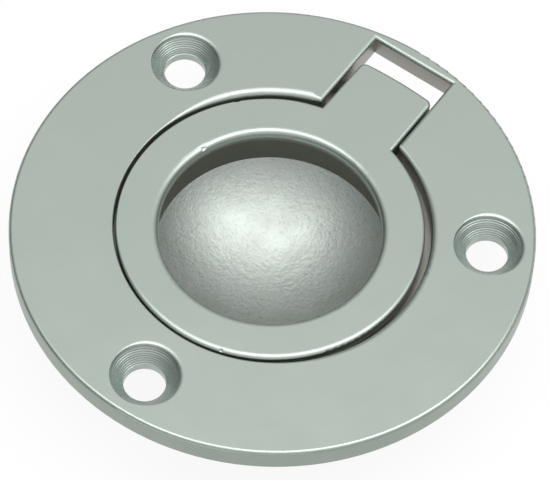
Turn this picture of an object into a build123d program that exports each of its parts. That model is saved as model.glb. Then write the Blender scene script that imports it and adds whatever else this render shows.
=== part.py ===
"""Round flush ring pull: a plated casting with a finger cup, a hinged ring and its pin.

The frame has its origin at the centre of the plate's back face, which seats on the door.
+Z points out of the face, towards the hand, and +Y points from the finger cup to the hinge.
"""

import os
from math import hypot, sqrt

from build123d import *

# ------------------------------------------------------------------ sizes in mm
# Plate: a flange of one width all round the recess
PLATE_DIA = 63.5
PLATE_THICKNESS = 3.0
FLANGE_WIDTH = 12.55
RIM_ROUND = 0.5

# Countersunk holes for No. 8 wood screws
SCREW_COUNT = 3
SCREW_RIM_MARGIN = 5.75
SCREW_HOLE_DIA = 5.1
SCREW_HEAD_DIA = 8.3
SCREW_HEAD_SINK = 0.35
COUNTERSINK_ANGLE = 90.0
SCREW_MOUTH_ROUND = 0.3

# Recess for the ring, and the slot that the tab swings in
RECESS_SIDE_CLEARANCE = 0.55
RECESS_EDGE_ROUND = 0.5
SHELF_CLEARANCE = 0.1
SLOT_CORNER_FLAT = 0.09
SLOT_END_GAP = 3.55
SLOT_SIDE_CLEARANCE = 0.2
SLOT_LEDGE = 0.8
SLOT_CORNER_RADIUS = 0.9

# Pull ring and its tab; the ring lies a little off the middle of its recess
RING_WIDTH = 5.2
RING_THICKNESS = 2.5
RING_SHIFT_X = -0.15
RING_SHIFT_Y = -0.28
RING_INNER_ROUND = 0.9
RING_OUTER_ROUND = 0.4
RING_SIDE_FLAT = 0.2
TAB_WIDTH = 10.9
TAB_TAPER = 0.5
TAB_CROWN = 0.25
TAB_CORNER_RADIUS = 0.9

# Finger cup and the back of the casting
CUP_SETBACK = 1.45
CUP_DRAFT = 0.45
CUP_SIDE_DEPTH = 7.0
CUP_DISH = 6.2
CUP_WALL = 1.6
SHELF_THICKNESS = 1.6
BOSS_WALL = 1.8
BOSS_ROUND = 0.5
CUP_BACK_ROUND = 0.8

# Hinge
PIN_DIA = 2.5
PIN_SETBACK = 2.7
PIN_RUNNING_CLEARANCE = 0.05
PIN_FLARE = 0.25
PIN_BACK_CLEARANCE = 0.3
EYE_WALL = 1.1
EYE_SIDE_STEP = 0.35
LUG_THICKNESS = 3.0
LUG_WALL = 1.35

# An edge is picked when it lies this near to its named place
PICK_TOLERANCE = 0.001

# ------------------------------------------------------------------ places that follow
plate_r = PLATE_DIA / 2
face_z = PLATE_THICKNESS
screw_circle_r = plate_r - SCREW_RIM_MARGIN

recess_r = plate_r - FLANGE_WIDTH
ring_r = recess_r - RECESS_SIDE_CLEARANCE
ring_hole_r = ring_r - RING_WIDTH
ring_bottom_z = face_z - RING_THICKNESS
ring_under_round = RING_THICKNESS - RING_INNER_ROUND - RING_SIDE_FLAT
shelf_z = ring_bottom_z - SHELF_CLEARANCE
boss_r = recess_r + BOSS_WALL
boss_z = shelf_z - SHELF_THICKNESS

tab_half = TAB_WIDTH / 2
slot_half = tab_half + SLOT_SIDE_CLEARANCE
slot_start = recess_r + SLOT_LEDGE
# The slot runs out until its rounded corners leave just a little flat inside the rim's round
slot_corner_r = plate_r - RIM_ROUND - SLOT_CORNER_FLAT
slot_end = sqrt(slot_corner_r**2 - (slot_half + RECESS_EDGE_ROUND) ** 2) - RECESS_EDGE_ROUND
tab_end = slot_end - SLOT_END_GAP

cup_mouth_r = ring_hole_r + CUP_SETBACK
cup_floor_r = cup_mouth_r - CUP_DRAFT
cup_corner_z = face_z - CUP_SIDE_DEPTH
cup_bottom_z = cup_corner_z - CUP_DISH
bowl_r = hypot(cup_floor_r, CUP_DISH) ** 2 / (2 * CUP_DISH)
cup_back_r = cup_floor_r + CUP_WALL
cup_back_corner_z = cup_bottom_z + bowl_r - sqrt((bowl_r + CUP_WALL) ** 2 - cup_back_r**2)

pin_r = PIN_DIA / 2
pin_y = tab_end - PIN_SETBACK
pin_z = -(pin_r + PIN_BACK_CLEARANCE)
pin_grip = slot_half + LUG_THICKNESS
eye_bore_r = pin_r + PIN_RUNNING_CLEARANCE
eye_half = tab_half - TAB_TAPER - EYE_SIDE_STEP


def at_height(edges, height):
    """Edges that lie flat at one height."""
    return edges.filter_by_position(Axis.Z, height - PICK_TOLERANCE, height + PICK_TOLERANCE)


def of_radius(edges, radius):
    """Round edges of one radius."""
    circles = edges.filter_by(GeomType.CIRCLE)
    return circles.filter_by(lambda edge: abs(edge.radius - radius) < PICK_TOLERANCE)


def hinge_profile(radius, top_z):
    """Round end on the pin's axis and the web that carries it from top_z, in the YZ plane."""
    with Locations((pin_y, pin_z)):
        Circle(radius)
        Rectangle(2 * radius, top_z - pin_z, align=(Align.CENTER, Align.MIN))


# ------------------------------------------------------------------ plate casting
# The plate, the recess for the ring, the finger cup with its dished floor, and the two
# hinge lugs at the back are one casting.
with BuildPart() as flush_plate:
    with BuildSketch(Plane.XZ):
        with BuildLine():
            TangentArc((0, cup_bottom_z), (cup_floor_r, cup_corner_z), tangent=(1, 0))
            Polyline(
                (cup_floor_r, cup_corner_z),
                (cup_mouth_r, shelf_z),
                (recess_r, shelf_z),
                (recess_r, face_z),
                (plate_r, face_z),
                (plate_r, 0),
                (boss_r, 0),
                (boss_r, boss_z),
                (cup_mouth_r + CUP_WALL, boss_z),
                (cup_back_r, cup_back_corner_z),
            )
            TangentArc(
                (0, cup_bottom_z - CUP_WALL), (cup_back_r, cup_back_corner_z), tangent=(1, 0)
            )
            Line((0, cup_bottom_z - CUP_WALL), (0, cup_bottom_z))
        make_face()
    revolve(axis=Axis.Z)

    # Cast rounding at the back: boss edge, boss to cup, and cup wall to cup bottom
    fillet(of_radius(at_height(flush_plate.edges(), boss_z), boss_r), BOSS_ROUND)
    cup_root = of_radius(at_height(flush_plate.edges(), boss_z), cup_mouth_r + CUP_WALL)
    fillet(cup_root, CUP_BACK_ROUND)
    fillet(at_height(flush_plate.edges(), cup_back_corner_z), CUP_BACK_ROUND)

    # Hinge lugs, one on each side of the slot
    with BuildSketch(Plane.YZ.offset(slot_half)):
        hinge_profile(pin_r + LUG_WALL, 0)
    extrude(amount=LUG_THICKNESS)
    with BuildSketch(Plane.YZ.offset(-slot_half)):
        hinge_profile(pin_r + LUG_WALL, 0)
    extrude(amount=-LUG_THICKNESS)

    # Slot: shelf-deep where the tab leaves the recess, and right through beyond it
    with BuildSketch(Plane.XY.offset(face_z)):
        Rectangle(2 * slot_half, slot_end, align=(Align.CENTER, Align.MIN))
    extrude(amount=shelf_z - face_z, mode=Mode.SUBTRACT)
    with BuildSketch(Plane.XY.offset(face_z)):
        with Locations((0, slot_start)):
            Rectangle(2 * slot_half, slot_end - slot_start, align=(Align.CENTER, Align.MIN))
    extrude(amount=boss_z - face_z, mode=Mode.SUBTRACT)

    # The corner on the right of the slot's mouth is filed round, the left one is left sharp
    right_corners = (
        flush_plate.edges()
        .filter_by(Axis.Z)
        .filter_by_position(Axis.X, slot_half - PICK_TOLERANCE, slot_half + PICK_TOLERANCE)
        .filter_by_position(Axis.Y, 0, recess_r)
    )
    fillet(right_corners, SLOT_CORNER_RADIUS)

    # Buffed edges of the face: rim, then the outline of recess and slot
    fillet(of_radius(at_height(flush_plate.edges(), face_z), plate_r), RIM_ROUND)
    rim_line = of_radius(at_height(flush_plate.edges(), face_z), plate_r - RIM_ROUND)
    fillet(at_height(flush_plate.edges(), face_z) - rim_line, RECESS_EDGE_ROUND)

    # Pin bore through both lugs, countersunk outside for the peened ends
    with BuildSketch(Plane.YZ):
        with Locations((pin_y, pin_z)):
            Circle(pin_r)
    extrude(amount=pin_grip, both=True, mode=Mode.SUBTRACT)
    bore_mouths = of_radius(flush_plate.edges(), pin_r).filter_by(
        lambda edge: abs(edge.center().X) > pin_grip - PICK_TOLERANCE
    )
    chamfer(bore_mouths, PIN_FLARE)

    # Screw holes, the first one opposite the hinge
    with Locations(Plane.XY.offset(face_z - SCREW_HEAD_SINK)):
        with PolarLocations(screw_circle_r, SCREW_COUNT, start_angle=-90):
            CounterSinkHole(
                radius=SCREW_HOLE_DIA / 2,
                counter_sink_radius=SCREW_HEAD_DIA / 2,
                depth=PLATE_THICKNESS,
                counter_sink_angle=COUNTERSINK_ANGLE,
            )
    screw_mouths = of_radius(at_height(flush_plate.edges(), face_z), SCREW_HEAD_DIA / 2)
    fillet(screw_mouths, SCREW_MOUTH_ROUND)

# ------------------------------------------------------------------ pull ring
# The ring, its tab and the hinge eye under the tab are one casting.
with BuildPart() as pull_ring:
    with BuildSketch(Plane.XY.offset(ring_bottom_z)):
        with BuildSketch(mode=Mode.PRIVATE) as tab:
            with BuildLine():
                Polyline(
                    (-tab_half + TAB_TAPER, tab_end - TAB_CROWN),
                    (-tab_half, 0),
                    (tab_half, 0),
                    (tab_half, tab_end - TAB_CROWN),
                )
                ThreePointArc(
                    (-tab_half + TAB_TAPER, tab_end - TAB_CROWN),
                    (TAB_TAPER / 2, tab_end),
                    (tab_half, tab_end - TAB_CROWN),
                )
            make_face()
            fillet(tab.vertices().group_by(Axis.Y)[-1], TAB_CORNER_RADIUS)
        add(tab.sketch)
        with Locations((RING_SHIFT_X, RING_SHIFT_Y)):
            Circle(ring_r)
            Circle(ring_hole_r, mode=Mode.SUBTRACT)
    extrude(amount=RING_THICKNESS)

    # Hinge eye under the tab
    with BuildSketch(Plane.YZ):
        hinge_profile(eye_bore_r + EYE_WALL, ring_bottom_z)
    extrude(amount=eye_half, both=True)
    with BuildSketch(Plane.YZ):
        with Locations((pin_y, pin_z)):
            Circle(eye_bore_r)
    extrude(amount=eye_half, both=True, mode=Mode.SUBTRACT)

    # Buffed edges: soft outside and underneath, a deeper round where the finger pulls
    outer_edges = at_height(pull_ring.edges(), face_z) - of_radius(pull_ring.edges(), ring_hole_r)
    fillet(outer_edges, RING_OUTER_ROUND)
    under_edges = at_height(pull_ring.edges(), ring_bottom_z)
    under_edges = of_radius(under_edges, ring_r) + of_radius(under_edges, ring_hole_r)
    fillet(under_edges, ring_under_round)
    finger_edge = of_radius(at_height(pull_ring.edges(), face_z), ring_hole_r)
    fillet(finger_edge, RING_INNER_ROUND)

# ------------------------------------------------------------------ hinge pin
# A plain rod with both ends peened out into the lugs' countersinks and dressed flush.
pin_plane = Plane(origin=(0, pin_y, pin_z), x_dir=(1, 0, 0), z_dir=(0, -1, 0))
with BuildPart() as hinge_pin:
    with BuildSketch(pin_plane):
        with BuildLine():
            Polyline(
                (0, 0),
                (0, pin_r),
                (pin_grip - PIN_FLARE, pin_r),
                (pin_grip, pin_r + PIN_FLARE),
                (pin_grip, 0),
                close=True,
            )
        make_face()
    revolve(axis=Axis(pin_plane.origin, (1, 0, 0)))
    mirror(about=Plane.YZ)

# ------------------------------------------------------------------ output
flush_plate.part.label = "flush_plate"
pull_ring.part.label = "pull_ring"
hinge_pin.part.label = "hinge_pin"

os.makedirs("parts", exist_ok=True)
export_step(flush_plate.part, "parts/flush_plate.step")
export_step(pull_ring.part, "parts/pull_ring.step")
export_step(hinge_pin.part, "parts/hinge_pin.step")
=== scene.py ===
"""Looks for the round flush ring pull: a satin chrome plate casting with its ring and pin."""

import logging
import math
import random
from collections.abc import Callable
from dataclasses import dataclass
from enum import Enum
from typing import Any

import bpy
from mathutils import Matrix, Vector


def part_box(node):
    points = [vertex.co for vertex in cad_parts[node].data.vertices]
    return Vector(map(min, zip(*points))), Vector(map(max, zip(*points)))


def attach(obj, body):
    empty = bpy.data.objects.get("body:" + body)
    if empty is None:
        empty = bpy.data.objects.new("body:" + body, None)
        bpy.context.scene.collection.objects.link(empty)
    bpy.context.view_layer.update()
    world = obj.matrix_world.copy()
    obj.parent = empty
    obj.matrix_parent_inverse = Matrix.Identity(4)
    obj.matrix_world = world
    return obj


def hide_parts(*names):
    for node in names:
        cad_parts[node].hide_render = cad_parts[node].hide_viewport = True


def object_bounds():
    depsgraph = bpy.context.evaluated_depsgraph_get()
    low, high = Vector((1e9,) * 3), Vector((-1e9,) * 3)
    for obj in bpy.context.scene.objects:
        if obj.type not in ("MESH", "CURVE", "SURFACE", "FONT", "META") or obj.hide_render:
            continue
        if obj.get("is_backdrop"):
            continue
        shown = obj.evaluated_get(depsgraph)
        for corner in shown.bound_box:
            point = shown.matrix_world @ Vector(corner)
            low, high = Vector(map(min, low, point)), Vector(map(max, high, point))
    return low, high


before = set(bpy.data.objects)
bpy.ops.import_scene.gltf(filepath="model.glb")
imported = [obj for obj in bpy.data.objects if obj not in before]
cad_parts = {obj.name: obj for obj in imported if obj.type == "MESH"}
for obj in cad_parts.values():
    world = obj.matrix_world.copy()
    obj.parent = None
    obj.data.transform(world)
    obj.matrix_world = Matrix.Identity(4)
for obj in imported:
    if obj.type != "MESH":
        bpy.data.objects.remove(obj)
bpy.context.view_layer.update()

MM = 0.001
LOG = logging.getLogger("ring_pull")
KEPT_NORMALS = "kept_normals"
Test = Callable[[Vector], bool]
Wear = tuple[tuple[float, float, float], ...]
EVEN_WEAR: Wear = ((-180, 1.0, 1.0), (180, 1.0, 1.0))

# Corners nearer than this are one, and an edge flatter than this is smooth
MERGE_GAP = 0.0001 * MM
SMOOTH_ANGLE = math.radians(32)

# How far up a face's normal points where it is level, and where it still faces the mop
LEVEL_NORMAL = 0.999
MOPPED_NORMAL = 0.2

# A dent's faces are split out to the first of these times its reach, and shaded anew to the second
DENT_SPLIT = 2.2
DENT_SHADED = 1.3

# Noise from clear to full cloud; where a speck's edge lies in the noise, how soft and how strong it is
CLOUD_RANGE = (0.3, 0.7)
SPECK_EDGE = 0.72
SPECK_SOFTNESS = 0.2
SPECK_STRENGTH = 0.8


class Piece(Enum):
    """Finished pieces, each with the CAD node it stands for, its body and its slot."""

    PLATE = ("plate_casting_finished", "flush_plate", "base", "plate_casting")
    RING = ("ring_casting_finished", "pull_ring", "ring", "ring_casting")


class Zone(Enum):
    """Surfaces of a casting that are finished in different ways."""

    BUFFED = 0
    CAST = 1
    TURNED = 2
    BLASTED = 3
    CUP_WALL = 4
    RIM = 5


def smooth_step(low: float, high: float, value: float) -> float:
    """Rise smoothly from 0 at low to 1 at high.

    Args:
        low: Where the rise begins.
        high: Where it ends, which may be below low for a fall.
        value: Place along the rise.

    Returns:
        A share from 0 to 1.
    """
    share = min(1.0, max(0.0, (value - low) / (high - low)))
    return share * share * (3 - 2 * share)


def worn(angle: float, wear: Wear) -> tuple[float, float]:
    """Read how worn a round edge is at an angle.

    Args:
        angle: Place round the edge in degrees.
        wear: Angle, times wider and times deeper, in order round the edge from -180 to 180.

    Returns:
        Times wider and times deeper there.
    """
    for (start, *first), (end, *second) in zip(wear, wear[1:]):
        if start <= angle <= end:
            share = smooth_step(start, end, angle)
            wider, deeper = (a + (b - a) * share for a, b in zip(first, second))
            return wider, deeper
    return 1.0, 1.0


def linear(hex_colour: str) -> tuple[float, float, float, float]:
    """Turn an sRGB hex colour into the linear colour that a shader takes.

    Args:
        hex_colour: Six hex digits after a hash.

    Returns:
        Linear red, green and blue, and an alpha of 1.
    """
    shares = [int(hex_colour[place : place + 2], 16) / 255 for place in (1, 3, 5)]
    red, green, blue = (s / 12.92 if s <= 0.04045 else ((s + 0.055) / 1.055) ** 2.4 for s in shares)
    return (red, green, blue, 1.0)


def add_node(
    tree: bpy.types.NodeTree,
    kind: str,
    inputs: dict[str | int, Any] | None = None,
    **settings: Any,
) -> bpy.types.Node:
    """Add one node to a tree, with its settings and links.

    Args:
        tree: Node tree that takes the node.
        kind: Blender's type name of the node, without the ShaderNode that starts it.
        inputs: Input sockets by name or number, each with a value or an output to link.
        settings: Properties of the node itself.

    Returns:
        The new node.
    """
    node = tree.nodes.new("ShaderNode" + kind)
    for name, value in settings.items():
        setattr(node, name, value)
    for socket, value in (inputs or {}).items():
        if isinstance(value, bpy.types.NodeSocket):
            tree.links.new(value, node.inputs[socket])
        else:
            node.inputs[socket].default_value = value
    return node


def new_material(name: str) -> tuple[bpy.types.Material, bpy.types.NodeTree]:
    """Start an empty node material.

    Args:
        name: The material's name.

    Returns:
        The material and its node tree.
    """
    material = bpy.data.materials.new(name)
    material.use_nodes = True
    material.node_tree.nodes.clear()
    return material, material.node_tree


@dataclass(frozen=True)
class MetalFinish:
    """A plated or bare metal surface: two close tints, a roughness and two sizes of unevenness.

    The clouds are where the wheel or the blast worked harder. The waves bend a reflection a
    little, and the grain breaks it up.
    """

    name: str
    tint: str
    second_tint: str
    roughness: float
    roughness_swing: float = 0.03
    cloud_mm: float = 6.0
    wave_mm: float = 3.0
    wave_depth_mm: float = 0.006
    grain_mm: float = 0.25
    grain_depth_mm: float = 0.0015
    grain_stretch: tuple[float, float, float] = (1.0, 1.0, 1.0)
    speck_tint: str = ""
    speck_mm: float = 0.5
    speck_share: float = 0.0

    def build(self) -> bpy.types.Material:
        """Make the material.

        Returns:
            The finished material.
        """
        material, tree = new_material(self.name)
        place = add_node(tree, "TexCoord").outputs["Object"]
        cloud = self.noise(tree, place, self.cloud_mm, 3.0)
        tint = add_node(
            tree,
            "MixRGB",
            {"Fac": cloud, "Color1": linear(self.tint), "Color2": linear(self.second_tint)},
        ).outputs["Color"]
        if self.speck_share > 0:
            tint = self.specks(tree, place, tint)
        roughness = add_node(
            tree,
            "MapRange",
            {
                "Value": cloud,
                "From Min": CLOUD_RANGE[0],
                "From Max": CLOUD_RANGE[1],
                "To Min": self.roughness - self.roughness_swing,
                "To Max": self.roughness + self.roughness_swing,
            },
        )
        shader = add_node(
            tree,
            "BsdfPrincipled",
            {
                "Base Color": tint,
                "Metallic": 1.0,
                "Roughness": roughness.outputs["Result"],
                "Normal": self.relief(tree, place),
            },
        )
        add_node(tree, "OutputMaterial", {"Surface": shader.outputs["BSDF"]})
        return material

    def noise(
        self, tree: bpy.types.NodeTree, place: bpy.types.NodeSocket, size_mm: float, detail: float
    ) -> bpy.types.NodeSocket:
        """Add a noise of a real size.

        Args:
            tree: The material's nodes.
            place: Coordinates in metres.
            size_mm: Width of one lump.
            detail: How many finer layers it has.

        Returns:
            The noise's value, from 0 to 1.
        """
        node = add_node(tree, "TexNoise", {"Vector": place, "Scale": 1 / (size_mm * MM), "Detail": detail})
        return node.outputs["Fac"]

    def relief(self, tree: bpy.types.NodeTree, place: bpy.types.NodeSocket) -> bpy.types.NodeSocket:
        """Add the waves and the grain as bumps.

        Args:
            tree: The material's nodes.
            place: Coordinates in metres.

        Returns:
            The bumped normal.
        """
        stretched = add_node(tree, "Mapping", {"Vector": place, "Scale": self.grain_stretch}).outputs[0]
        wave = self.noise(tree, place, self.wave_mm, 1.0)
        grain = self.noise(tree, stretched, self.grain_mm, 2.0)
        broad = add_node(tree, "Bump", {"Height": wave, "Distance": self.wave_depth_mm * MM})
        fine = add_node(
            tree,
            "Bump",
            {"Height": grain, "Distance": self.grain_depth_mm * MM, "Normal": broad.outputs[0]},
        )
        return fine.outputs[0]

    def specks(
        self, tree: bpy.types.NodeTree, place: bpy.types.NodeSocket, tint: bpy.types.NodeSocket
    ) -> bpy.types.NodeSocket:
        """Add dark specks, where the plating is thin over a pit.

        Args:
            tree: The material's nodes.
            place: Coordinates in metres.
            tint: The colour between the specks.

        Returns:
            The colour with its specks.
        """
        spread = self.noise(tree, place, self.speck_mm, 2.0)
        edge = SPECK_EDGE - self.speck_share
        share = add_node(
            tree,
            "MapRange",
            {
                "Value": spread,
                "From Min": edge,
                "From Max": edge + SPECK_SOFTNESS,
                "To Max": SPECK_STRENGTH,
            },
        )
        mixed = add_node(
            tree,
            "MixRGB",
            {"Fac": share.outputs["Result"], "Color1": tint, "Color2": linear(self.speck_tint)},
        )
        return mixed.outputs["Color"]


# Satin chrome over cast brass, mopped with a greasy compound: an even grey sheen, faintly green,
# with slow clouds and no visible scratches.
MOPPED_CHROME = MetalFinish(
    "satin_chrome_mopped", "#B1BEB6", "#B0B8B2", roughness=0.34, roughness_swing=0.05, wave_depth_mm=0.009
)

# The same plating where no mop reaches, over metal left from the mould and the mill: greyer, duller,
# with a warm cast where the brass shows through.
UNMOPPED_CHROME = MetalFinish(
    "satin_chrome_over_casting",
    "#A3A9A4",
    "#A79F96",
    roughness=0.42,
    cloud_mm=4.0,
    wave_mm=1.2,
    grain_mm=0.35,
    grain_depth_mm=0.006,
)

# Chrome over a countersink cut with a chattering tool: brighter lands and grey valleys.
TURNED_CHROME = MetalFinish(
    "satin_chrome_over_turned_brass",
    "#AEB8B3",
    "#9DA7A2",
    roughness=0.30,
    cloud_mm=0.8,
    grain_mm=0.30,
    grain_depth_mm=0.003,
)

# The same over the plate's lathe-turned rim, painted one tone darker: painted shade on the upright rim
# band.
RIM_CHROME = MetalFinish(
    "satin_chrome_over_turned_rim_painted_shade",
    "#98A39B",
    "#919C94",
    roughness=0.34,
    cloud_mm=5.0,
    grain_mm=0.30,
    grain_depth_mm=0.004,
    grain_stretch=(0.2, 0.2, 1.0),
)

# Chrome over a shot-blasted cup: broad soft highlight, fine speckle. The real grit is about 0.15 mm,
# drawn at 0.35 mm so that it shows.
BLASTED_CHROME = MetalFinish(
    "satin_chrome_over_blasted_cup",
    "#B2BDB6",
    "#B9BBB8",
    roughness=0.47,
    roughness_swing=0.04,
    cloud_mm=3.0,
    wave_mm=1.6,
    wave_depth_mm=0.008,
    grain_mm=0.35,
    grain_depth_mm=0.035,
    speck_tint="#A0A8A3",
    speck_mm=0.40,
    speck_share=0.17,
)

# The same chrome on the steep side of the cup, painted dark as painted shade for a wall that takes
# little light, with a hint of brass.
CUP_WALL_PAINTED_SHADE = MetalFinish(
    "chrome_with_painted_shade_over_cup_wall",
    "#868F8B",
    "#8F8376",
    roughness=0.40,
    cloud_mm=5.0,
    wave_mm=1.2,
    grain_mm=0.35,
    grain_depth_mm=0.008,
)

# Cold-drawn stainless steel wire: straight die lines along the pin.
DRAWN_STEEL = MetalFinish(
    "drawn_stainless_steel",
    "#B9B8B4",
    "#AFAEAA",
    roughness=0.28,
    grain_mm=0.12,
    grain_depth_mm=0.004,
    grain_stretch=(0.03, 1.0, 1.0),
)

ZONE_FINISHES = {
    Zone.BUFFED: MOPPED_CHROME,
    Zone.CAST: UNMOPPED_CHROME,
    Zone.TURNED: TURNED_CHROME,
    Zone.BLASTED: BLASTED_CHROME,
    Zone.CUP_WALL: CUP_WALL_PAINTED_SHADE,
    Zone.RIM: RIM_CHROME,
}


class Bench:
    """A copy of one CAD casting, and the hand tools that finish it."""

    def __init__(self, kind: Piece) -> None:
        """Copy the CAD node's mesh and merge its loose triangles.

        Args:
            kind: Which piece is made.
        """
        name, node, self.body, self.slot = kind.value
        self.node = node
        bpy.ops.object.select_all(action="DESELECT")
        self.piece = bpy.data.objects.new(name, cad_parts[node].data.copy())
        bpy.context.collection.objects.link(self.piece)
        self.piece.select_set(True)
        bpy.context.view_layer.objects.active = self.piece
        self.remade: list[Test] = []
        mesh = self.piece.data
        kept = mesh.attributes.new(KEPT_NORMALS, "FLOAT_VECTOR", "CORNER")
        for corner, normal in zip(kept.data, mesh.corner_normals):
            corner.vector = normal.vector
        bpy.ops.mesh.customdata_custom_splitnormals_clear()
        bpy.ops.object.mode_set(mode="EDIT")
        bpy.ops.mesh.select_all(action="SELECT")
        bpy.ops.mesh.remove_doubles(threshold=MERGE_GAP)
        bpy.ops.object.mode_set(mode="OBJECT")

    def pick_faces(self, test: Test) -> None:
        """Select the faces whose corners all pass a test, and stay in edit mode.

        Args:
            test: Says whether a place in metres belongs.
        """
        self.start_pick((False, False, True))
        mesh = self.piece.data
        inside = [test(vertex.co) for vertex in mesh.vertices]
        for face in mesh.polygons:
            face.select = all(inside[corner] for corner in face.vertices)
        bpy.ops.object.mode_set(mode="EDIT")

    def pick_edges(self, test: Test) -> None:
        """Select the edges of an opening whose ends both pass a test, and stay in edit mode.

        Args:
            test: Says whether a place in metres belongs.
        """
        self.start_pick((False, True, False))
        mesh = self.piece.data
        uses = [0] * len(mesh.edges)
        for loop in mesh.loops:
            uses[loop.edge_index] += 1
        inside = [test(vertex.co) for vertex in mesh.vertices]
        for edge in mesh.edges:
            is_open = uses[edge.index] == 1
            edge.select = is_open and all(inside[end] for end in edge.vertices)
        bpy.ops.object.mode_set(mode="EDIT")

    def start_pick(self, mode: tuple[bool, bool, bool]) -> None:
        """Deselect everything and set what edit mode selects.

        Args:
            mode: Whether vertices, edges and faces are selected.
        """
        bpy.context.tool_settings.mesh_select_mode = mode
        bpy.ops.object.mode_set(mode="EDIT")
        bpy.ops.mesh.select_all(action="DESELECT")
        bpy.ops.object.mode_set(mode="OBJECT")

    def extrude_rings(self, centre: Vector, profile: list[tuple[float, float]]) -> None:
        """Extrude the selected round edge through a row of rings.

        Args:
            centre: Centre of the rings, on their axis.
            profile: Radius and height of each ring in metres, the present one first.
        """
        for (radius, height), (next_radius, next_height) in zip(profile, profile[1:]):
            drop = (0.0, 0.0, next_height - height)
            bpy.ops.mesh.extrude_region_move(TRANSFORM_OT_translate={"value": drop})
            scale = next_radius / radius
            bpy.ops.transform.resize(value=(scale, scale, 1.0), center_override=centre)

    def wear_edge(self, centre: Vector, corner: tuple[float, float], size: float, wear: Wear) -> None:
        """Widen or narrow a rounded edge by hand, as a mop does that rests on it for longer or less.

        Args:
            centre: Centre of the round edge.
            corner: Radius and height of the corner before it was rounded, in metres.
            size: Width of the rounding. It is negative where the metal is inside the edge.
            wear: Angle in degrees, times wider and times deeper, at places round the edge.
        """
        slack = 0.012 * MM
        side = math.copysign(1.0, size)

        def section(co: Vector) -> tuple[float, float]:
            """How far a place is from the corner, into the metal and down."""
            return (math.hypot(co.x - centre.x, co.y - centre.y) - corner[0]) * side, corner[1] - co.z

        def on_round(co: Vector) -> bool:
            """Whether a place is on the rounding."""
            return all(-slack <= reach <= abs(size) + slack for reach in section(co))

        self.pick_faces(on_round)
        bpy.ops.mesh.beautify_fill(angle_limit=math.pi)
        bpy.ops.object.mode_set(mode="OBJECT")
        mesh = self.piece.data
        normals: dict[int, Vector] = {}
        for vertex in mesh.vertices:
            if on_round(vertex.co):
                out, down = section(vertex.co)
                across = Vector((vertex.co.x - centre.x, vertex.co.y - centre.y, 0)).normalized()
                wider, deeper = worn(math.degrees(math.atan2(across.y, across.x)), wear)
                place = centre + across * (corner[0] + out * wider * side)
                vertex.co = (place.x, place.y, corner[1] - down * deeper)
                outwards = min(0.0, out / abs(size) - 1) * side
                upwards = max(0.0, 1 - down / abs(size))
                normal = across * outwards / wider + Vector((0, 0, upwards / deeper))
                normals[vertex.index] = normal.normalized()
        kept = mesh.attributes[KEPT_NORMALS].data
        for face in mesh.polygons:
            if all(corner in normals for corner in face.vertices):
                for loop in face.loop_indices:
                    kept[loop].vector = normals[mesh.loops[loop].vertex_index]

    def dent(self, place: Vector, radius: float, push: Vector) -> None:
        """Knock a small dent into an edge.

        Args:
            place: Middle of the dent.
            radius: How far it reaches.
            push: Where its middle goes, as a move.
        """
        self.pick_faces(lambda co: (co - place).length < DENT_SPLIT * radius)
        bpy.ops.mesh.subdivide(number_cuts=2)
        bpy.ops.object.mode_set(mode="OBJECT")
        self.remade.append(lambda co: (co - place).length < DENT_SHADED * radius)
        for vertex in self.piece.data.vertices:
            reach = (vertex.co - place).length / radius
            if reach < 1:
                vertex.co += push * (1 - reach * reach) ** 2

    def close_up(self) -> None:
        """Point all faces outwards and smooth what is round.

        Faces that were carried over keep the exact normals of the CAD surface.
        """
        bpy.ops.object.mode_set(mode="EDIT")
        bpy.ops.mesh.select_all(action="SELECT")
        bpy.ops.mesh.remove_doubles(threshold=MERGE_GAP)
        bpy.ops.mesh.normals_make_consistent(inside=False)
        bpy.ops.object.mode_set(mode="OBJECT")
        bpy.ops.object.shade_smooth_by_angle(angle=SMOOTH_ANGLE)
        mesh = self.piece.data
        is_remade = [False] * len(mesh.polygons)
        for test in self.remade:
            inside = [test(vertex.co) for vertex in mesh.vertices]
            for face in mesh.polygons:
                is_remade[face.index] |= all(inside[corner] for corner in face.vertices)
        normals = [Vector(corner.vector) for corner in mesh.attributes[KEPT_NORMALS].data]
        for face in mesh.polygons:
            if is_remade[face.index]:
                for loop in face.loop_indices:
                    normals[loop] = Vector()
        mesh.attributes.remove(mesh.attributes[KEPT_NORMALS])
        mesh.normals_split_custom_set(normals)

    def dress(
        self, zone_of: Callable[[Vector, Vector], Zone], finishes: dict[Zone, bpy.types.Material]
    ) -> None:
        """Give each face the finish of its zone.

        Args:
            zone_of: Names the zone of a face from its middle and normal.
            finishes: Material of each zone.
        """
        self.piece.data.materials.clear()
        for zone in Zone:
            self.piece.data.materials.append(finishes[zone])
        for face in self.piece.data.polygons:
            face.material_index = zone_of(face.center, face.normal).value

    def hand_over(self) -> None:
        """Put the piece on its body, in place of its CAD node."""
        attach(self.piece, self.body)
        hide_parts(self.node)
        LOG.info("%s: %d faces, stands for %s", self.piece.name, len(self.piece.data.polygons), self.node)


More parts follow.
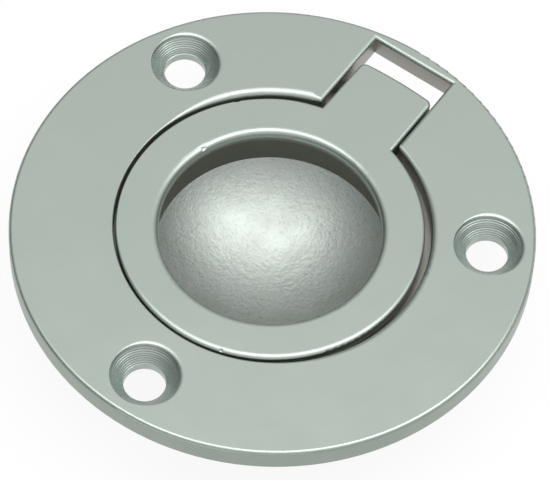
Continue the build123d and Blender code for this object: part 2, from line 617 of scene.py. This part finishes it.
@dataclass
class FlushPlate:
    """The plate casting: blasted cup, turned countersinks and unevenly mopped edges."""

    rim_radius: float = 31.75 * MM
    recess_radius: float = 19.2 * MM
    edge_round: float = 0.5 * MM
    cup_radius: float = 14.45 * MM
    cup_top: float = -4.0 * MM
    dish_radius: float = 19.94 * MM
    cup_bottom: float = -10.2 * MM
    cup_rings: int = 60
    cup_grain: float = 0.035 * MM
    cup_grain_size: float = 0.55 * MM
    cup_grain_full: float = 0.95
    screw_circle: float = 26.0 * MM
    screw_angles: tuple[float, ...] = (-90.0, 30.0, 150.0)
    mouth_radius: float = 4.15 * MM
    mouth_height: float = 2.65 * MM
    mouth_round: float = 0.3 * MM
    bore_radius: float = 2.55 * MM
    groove_count: int = 8
    groove_depth: tuple[float, float] = (0.008 * MM, 0.022 * MM)
    groove_profile: tuple[tuple[float, float], ...] = ((0.3, 0.15), (0.6, 1.0), (0.85, 0.7), (1.0, 0.0))
    groove_span: float = 0.97
    dent_angle: float = 63.6
    dent_offset: float = 0.3 * MM
    dent_reach: float = 0.35 * MM
    dent_depth: float = 0.10 * MM
    recess_wear: Wear = (
        (-180, 0.4, 0.6),
        (-130, 0.4, 0.6),
        (-60, 0.6, 0.8),
        (-10, 1.6, 1.2),
        (55, 1.6, 1.2),
        (66, 1.0, 1.0),
        (107.5, 1.0, 1.0),
        (111, 2.1, 1.7),
        (140, 2.1, 1.7),
        (172, 0.4, 0.6),
        (180, 0.4, 0.6),
    )
    screw_wear: Wear = (
        (-180, 0.3, 0.8),
        (-147, 0.15, 0.6),
        (-57, 0.4, 0.8),
        (0, 1.6, 1.0),
        (33, 1.9, 1.0),
        (123, 1.9, 1.0),
        (160, 0.8, 1.0),
        (180, 0.3, 0.8),
    )

    def __post_init__(self) -> None:
        """Read the plate's face height and set up what follows from the sizes."""
        self.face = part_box("flush_plate")[1].z
        self.dish_centre = Vector((0, 0, self.cup_bottom + self.dish_radius))

    def build(self, finishes: dict[Zone, bpy.types.Material]) -> None:
        """Make the plate.

        Args:
            finishes: Material of each zone.
        """
        bench = Bench(Piece.PLATE)
        self.spin_cup(bench)
        for number, angle in enumerate(self.screw_angles):
            self.turn_countersink(bench, self.screw_centre(angle), random.Random(number + 1))
        bench.wear_edge(Vector(), (self.recess_radius, self.face), self.edge_round, self.recess_wear)
        bench.wear_edge(Vector(), (self.rim_radius, self.face), -self.edge_round, EVEN_WEAR)
        for angle in self.screw_angles:
            mouth = (self.mouth_radius, self.face)
            bench.wear_edge(self.screw_centre(angle), mouth, self.mouth_round, self.screw_wear)
        spot = math.radians(self.dent_angle)
        edge = Vector((math.cos(spot), math.sin(spot), 0)) * (self.recess_radius + self.dent_offset)
        bench.dent(edge + Vector((0, 0, self.face)), self.dent_reach, Vector((0, 0, -self.dent_depth)))
        bench.close_up()
        self.grain_cup(bench)
        bench.dress(self.zone_of, finishes)
        bench.hand_over()

    def screw_centre(self, angle: float) -> Vector:
        """Find the centre of a screw hole, at height 0.

        Args:
            angle: Place on the screw circle in degrees.

        Returns:
            The centre.
        """
        turn = math.radians(angle)
        return Vector((math.cos(turn), math.sin(turn), 0)) * self.screw_circle

    def on_dish(self, co: Vector) -> bool:
        """Whether a place is on the cup's dished floor."""
        off = (co - self.dish_centre).length - self.dish_radius
        return abs(off) < 0.05 * MM and co.z < self.cup_top + 0.05 * MM

    def dish_height(self, radius: float) -> float:
        """Height of the dished floor at a distance from its middle."""
        return self.dish_centre.z - math.sqrt(self.dish_radius**2 - radius**2)

    def spin_cup(self, bench: Bench) -> None:
        """Make the dished floor anew, in rings fine enough to carry a cast grain.

        Args:
            bench: The plate's bench.
        """
        bench.remade.append(self.on_dish)
        bench.pick_faces(self.on_dish)
        bpy.ops.mesh.delete(type="FACE")
        bpy.ops.object.mode_set(mode="OBJECT")
        bench.pick_edges(lambda co: co.z < self.cup_top + 0.05 * MM)
        bpy.ops.mesh.subdivide(number_cuts=2)
        radii = [self.cup_radius * (1 - step / self.cup_rings) for step in range(self.cup_rings)]
        rim = (self.cup_radius, self.cup_top)
        bench.extrude_rings(Vector(), [rim] + [(r, self.dish_height(r)) for r in radii[1:]])
        bpy.ops.mesh.merge(type="CENTER")
        bpy.ops.object.mode_set(mode="OBJECT")

    def grain_cup(self, bench: Bench) -> None:
        """Roughen the dished floor with the low lumps of a casting.

        Args:
            bench: The plate's bench.
        """
        group = bench.piece.vertex_groups.new(name="dished_floor")
        for vertex in bench.piece.data.vertices:
            if self.on_dish(vertex.co):
                radius = math.hypot(vertex.co.x, vertex.co.y)
                share = smooth_step(self.cup_radius, self.cup_grain_full * self.cup_radius, radius)
                group.add([vertex.index], share, "REPLACE")
        lumps = bpy.data.textures.new("cast_lumps", "CLOUDS")
        lumps.noise_scale = self.cup_grain_size
        lumps.noise_depth = 1
        grain = bench.piece.modifiers.new("cast_grain", "DISPLACE")
        grain.texture = lumps
        grain.texture_coords = "LOCAL"
        grain.vertex_group = group.name
        grain.strength = self.cup_grain
        grain.mid_level = 0.5
        bpy.ops.object.modifier_apply(modifier=grain.name)

    def turn_countersink(self, bench: Bench, centre: Vector, draw: random.Random) -> None:
        """Cut one countersink anew with the grooves that its tool left.

        Args:
            bench: The plate's bench.
            centre: Centre of the hole.
            draw: Gives each groove its own depth.
        """
        bore_height = self.mouth_height - (self.mouth_radius - self.bore_radius)
        slack = 0.02 * MM

        def radius_of(co: Vector) -> float:
            """Distance from the hole's axis."""
            return math.hypot(co.x - centre.x, co.y - centre.y)

        def on_cone(co: Vector) -> bool:
            """Whether a place is on the countersink's cone or in its grooves."""
            is_level = bore_height - 3 * slack < co.z < self.mouth_height + slack
            return is_level and abs(radius_of(co) - self.bore_radius - co.z + bore_height) < 4 * slack

        bench.remade.append(on_cone)
        bench.pick_faces(on_cone)
        bpy.ops.mesh.delete(type="FACE")
        bpy.ops.object.mode_set(mode="OBJECT")
        bench.pick_edges(lambda co: radius_of(co) > self.mouth_radius - 0.3 * MM and co.z > bore_height)
        width = self.mouth_radius - self.bore_radius
        profile = [(self.mouth_radius, self.mouth_height)]
        for groove in range(self.groove_count):
            depth = draw.uniform(*self.groove_depth)
            for part, share in self.groove_profile:
                inwards = width * (groove + part) / self.groove_count * self.groove_span
                sink = depth * share
                profile.append((self.mouth_radius - inwards + sink, self.mouth_height - inwards - sink))
        bench.extrude_rings(centre, profile)
        bpy.ops.object.mode_set(mode="OBJECT")
        bench.pick_edges(lambda co: radius_of(co) < self.mouth_radius)
        bpy.ops.mesh.bridge_edge_loops()
        bpy.ops.object.mode_set(mode="OBJECT")

    def zone_of(self, middle: Vector, normal: Vector) -> Zone:
        """Name the zone of a face.

        Args:
            middle: The face's middle.
            normal: The face's normal.

        Returns:
            Its zone.
        """
        radius = math.hypot(middle.x, middle.y)
        if (middle - self.dish_centre).length < self.dish_radius + 0.1 * MM and middle.z < self.cup_top:
            return Zone.BLASTED
        near_front = middle.z > 0.05 * MM and normal.z < LEVEL_NORMAL
        for angle in self.screw_angles:
            centre = self.screw_centre(angle)
            reach = math.hypot(middle.x - centre.x, middle.y - centre.y)
            if near_front and reach < self.mouth_radius + 0.01 * MM:
                return Zone.TURNED
        # The cup's steep wall takes the finish that carries painted shade
        if radius < self.cup_radius + 0.6 * MM and middle.z > self.cup_top and abs(normal.z) < 0.5:
            return Zone.CUP_WALL
        # The rim takes the turned finish with its painted shade, one tone darker
        if radius > self.rim_radius - 0.1 * MM:
            return Zone.RIM
        return Zone.BUFFED if normal.z > MOPPED_NORMAL and middle.z > 1.5 * MM else Zone.CAST


@dataclass
class PullRing:
    """The ring casting: flat mopped face, rounded edges and a few knocks."""

    centre: tuple[float, float] = (-0.15 * MM, -0.28 * MM)
    outer_radius: float = 18.65 * MM
    inner_radius: float = 13.45 * MM
    outer_round: float = 0.4 * MM
    outer_wear: Wear = (
        (-180, 0.4, 0.6),
        (-145, 0.5, 0.7),
        (-95, 1.8, 1.3),
        (-35, 1.8, 1.3),
        (20, 1.0, 1.0),
        (72, 1.0, 1.0),
        (108, 1.0, 1.0),
        (120, 0.5, 0.7),
        (180, 0.4, 0.6),
    )
    knocks: tuple[tuple[float, bool, float], ...] = (
        (-73.0, True, 0.30),
        (138.0, True, 0.32),
        (161.5, False, 0.40),
        (78.0, False, 0.34),
    )
    outer_knock_inset: float = 0.1 * MM
    inner_knock_inset: float = 0.3 * MM
    knock_drop: float = 0.1 * MM
    knock_push: float = 0.1

    def build(self, finishes: dict[Zone, bpy.types.Material]) -> None:
        """Make the ring.

        Args:
            finishes: Material of each zone.
        """
        bench = Bench(Piece.RING)
        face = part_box("pull_ring")[1].z
        middle = Vector((*self.centre, 0))
        bench.wear_edge(middle, (self.outer_radius, face), -self.outer_round, self.outer_wear)
        for angle, is_outer, reach in self.knocks:
            turn = math.radians(angle)
            along = Vector((math.cos(turn), math.sin(turn), 0))
            outer_place = self.outer_radius - self.outer_knock_inset
            inner_place = self.inner_radius + self.inner_knock_inset
            radius = outer_place if is_outer else inner_place
            inwards = -self.knock_push if is_outer else self.knock_push
            push = along * inwards + Vector((0, 0, -self.knock_push))
            spot = middle + along * radius + Vector((0, 0, face - self.knock_drop))
            bench.dent(spot, reach * MM, push * MM)
        bench.close_up()
        bench.dress(self.zone_of, finishes)
        bench.hand_over()

    def zone_of(self, middle: Vector, normal: Vector) -> Zone:
        """Name the zone of a face.

        Args:
            middle: The face's middle.
            normal: The face's normal.

        Returns:
            Its zone.
        """
        return Zone.BUFFED if middle.z > 1.9 * MM or normal.z > MOPPED_NORMAL else Zone.CAST


@dataclass(frozen=True)
class HingePin:
    """The drawn steel pin: the CAD node is right as it is and only takes its finish."""

    node: str = "hinge_pin"

    def build(self) -> None:
        """Dress the pin."""
        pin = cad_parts[self.node]
        steel = DRAWN_STEEL.build()
        for place in pin.material_slots:
            place.material = steel
        LOG.info("%s: dressed with %s", self.node, steel.name)


@dataclass(frozen=True)
class Studio:
    """White paper floor, an overhead softbox and a soft surround that darkens downwards."""

    floor_size: float = 3.0
    floor_gap: float = 0.2 * MM
    floor_colour: str = "#F4F4F2"
    floor_white: float = 0.90
    surround_low: float = 0.42
    surround_high: float = 1.24
    surround_front: float = 0.25
    surround_left: float = -0.38
    front_turn: float = 33.0
    softbox_size: tuple[float, float] = (0.95, 0.34)
    softbox_height: float = 0.55
    softbox_lean: tuple[float, float] = (6.0, 9.0)
    softbox_power: float = 2.1

    def build(self) -> None:
        """Make the floor, the softbox and the surround."""
        bpy.ops.object.select_all(action="DESELECT")
        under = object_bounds()[0].z - self.floor_gap
        bpy.ops.mesh.primitive_plane_add(size=self.floor_size, location=(0, 0, under))
        floor = bpy.context.active_object
        floor.name = "paper_floor"
        bpy.ops.object.transform_apply(location=True, rotation=False, scale=False)
        floor.data.materials.append(self.paper())
        floor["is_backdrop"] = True
        lamp = bpy.data.lights.new("softbox", "AREA")
        lamp.shape = "RECTANGLE"
        lamp.size, lamp.size_y = self.softbox_size
        lamp.energy = self.softbox_power
        softbox = bpy.data.objects.new("softbox", lamp)
        turn = Matrix.Rotation(math.radians(self.front_turn), 4, "Z")
        forward, right = (math.radians(angle) for angle in self.softbox_lean)
        lean = Matrix.Rotation(forward, 4, "X") @ Matrix.Rotation(right, 4, "Y")
        softbox.matrix_world = turn @ lean @ Matrix.Translation((0, 0, self.softbox_height))
        bpy.context.collection.objects.link(softbox)
        self.build_surround()
        LOG.info("studio: floor, softbox and surround")

    def paper(self) -> bpy.types.Material:
        """Make matt white paper that the camera and reflections see as white, with a faint shadow.

        Returns:
            The floor's material.
        """
        material, tree = new_material("matt_white_paper")
        path = add_node(tree, "LightPath")
        seen = add_node(
            tree,
            "Math",
            {0: path.outputs["Is Camera Ray"], 1: path.outputs["Is Glossy Ray"]},
            operation="MAXIMUM",
        )
        clear = add_node(
            tree, "Math", {0: seen.outputs[0], 1: path.outputs["Is Transmission Ray"]}, operation="MAXIMUM"
        )
        share = add_node(tree, "Math", {0: clear.outputs[0], 1: self.floor_white}, operation="MULTIPLY")
        paper = add_node(tree, "BsdfDiffuse", {"Color": linear(self.floor_colour)})
        white = add_node(tree, "Emission", {"Color": (1.0, 1.0, 1.0, 1.0), "Strength": 1.0})
        mix = add_node(
            tree, "MixShader", {0: share.outputs[0], 1: paper.outputs[0], 2: white.outputs[0]}
        )
        add_node(tree, "OutputMaterial", {"Surface": mix.outputs[0]})
        return material

    def build_surround(self) -> None:
        """Make a surround that grows lighter from the horizon to the zenith, and to the front."""
        world = bpy.data.worlds.new("surround")
        world.use_nodes = True
        tree = world.node_tree
        tree.nodes.clear()
        way = add_node(tree, "TexCoord").outputs["Generated"]
        height = add_node(tree, "SeparateXYZ", {0: way}).outputs["Z"]
        turn = math.radians(self.front_turn)
        front = (math.sin(turn), -math.cos(turn), 0.0)
        left = (-math.cos(turn), -math.sin(turn), 0.0)
        level = add_node(
            tree,
            "MapRange",
            {"Value": height, "To Min": self.surround_low, "To Max": self.surround_high},
            interpolation_type="SMOOTHSTEP",
        ).outputs["Result"]
        for side, more in ((front, self.surround_front), (left, self.surround_left)):
            facing = add_node(tree, "VectorMath", {0: way, 1: side}, operation="DOT_PRODUCT")
            share = add_node(tree, "MapRange", {"Value": facing.outputs["Value"], "To Max": more})
            level = add_node(tree, "Math", {0: level, 1: share.outputs["Result"]}).outputs[0]
        glow = add_node(tree, "Background", {"Strength": level})
        add_node(tree, "OutputWorld", {"Surface": glow.outputs[0]})
        bpy.context.scene.world = world


@dataclass(frozen=True)
class Camera:
    """A long lens above the front, turned a third of a right angle from the hinge."""

    azimuth: float = 32.85
    elevation: float = 57.26
    roll: float = 3.0
    distance: float = 0.5
    lens: float = 273.2
    aim: tuple[float, float] = (1.43 * MM, -1.66 * MM)

    def build(self) -> None:
        """Make the camera and set it as the scene's own."""
        turn = math.radians(self.azimuth)
        rise = math.radians(self.elevation)
        level = math.cos(rise)
        back = Vector((math.sin(turn) * level, -math.cos(turn) * level, math.sin(rise)))
        right = Vector((math.cos(turn), math.sin(turn), 0))
        tilt = Matrix.Rotation(math.radians(self.roll), 3, back)
        axes = Matrix((tilt @ right, tilt @ back.cross(right), back)).transposed()
        target = Vector((*self.aim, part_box("flush_plate")[1].z))
        lens = bpy.data.cameras.new("camera")
        lens.lens = self.lens
        camera = bpy.data.objects.new("camera", lens)
        camera.matrix_world = Matrix.Translation(target + back * self.distance) @ axes.to_4x4()
        bpy.context.collection.objects.link(camera)
        bpy.context.scene.camera = camera


def main() -> None:
    """Build the camera, the three pieces and the studio."""
    logging.basicConfig(level=logging.INFO, format="%(name)s: %(message)s")
    Camera().build()
    finishes = {zone: finish.build() for zone, finish in ZONE_FINISHES.items()}
    FlushPlate().build(finishes)
    PullRing().build(finishes)
    HingePin().build()
    Studio().build()
    bpy.context.scene.view_settings.view_transform = "Standard"


if __name__ == "__main__":
    main()
